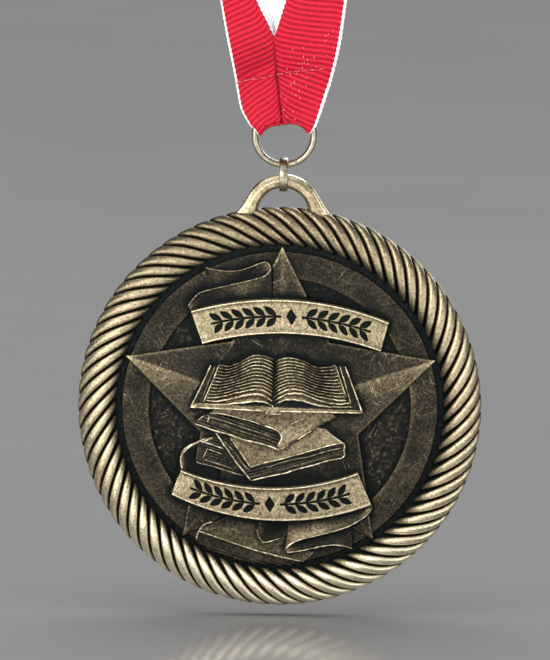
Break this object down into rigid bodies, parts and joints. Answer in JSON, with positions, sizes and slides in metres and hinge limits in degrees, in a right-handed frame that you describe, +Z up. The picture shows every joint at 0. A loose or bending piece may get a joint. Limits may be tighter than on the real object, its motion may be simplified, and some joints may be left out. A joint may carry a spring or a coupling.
{
  "type": "academic medal on neck ribbon",
  "caption": "Round cast medal with rope rim, star, scrolls and books in relief, hung by a bail, link and ring from a pleated neck ribbon.",
  "frame": {"origin": "top of the ribbon loop, in the middle of its inner face, where the neck holds it", "axes": "+Z up along the hanging medal, -Y the way the medal's face looks, +X to the right as the face is seen"},
  "size_m": [0.0508, 0.1108, 0.4302],
  "materials": {
    "medal": "antique, dark in the recesses",
    "fittings": "pale, polished",
    "ribbon": "ribbed grosgrain"
  },
  "bodies": {
    "ribbon": {"neck_ribbon": "ribbon", "ribbon_ring": "fittings"},
    "link": {"connecting_link": "fittings"},
    "pendant": {"medal": "medal"}
  },
  "joints": [
    {"name": "link_swing", "type": "hinge", "parent": "ribbon", "child": "link", "pos_m": [0, 0, -0.37308], "axis": [1, 0, 0], "range_deg": [-45, 45]},
    {"name": "medal_swing", "type": "hinge", "parent": "link", "child": "pendant", "pos_m": [0, 0, -0.37515], "axis": [1, 0, 0], "range_deg": [-45, 45]}
  ]
}
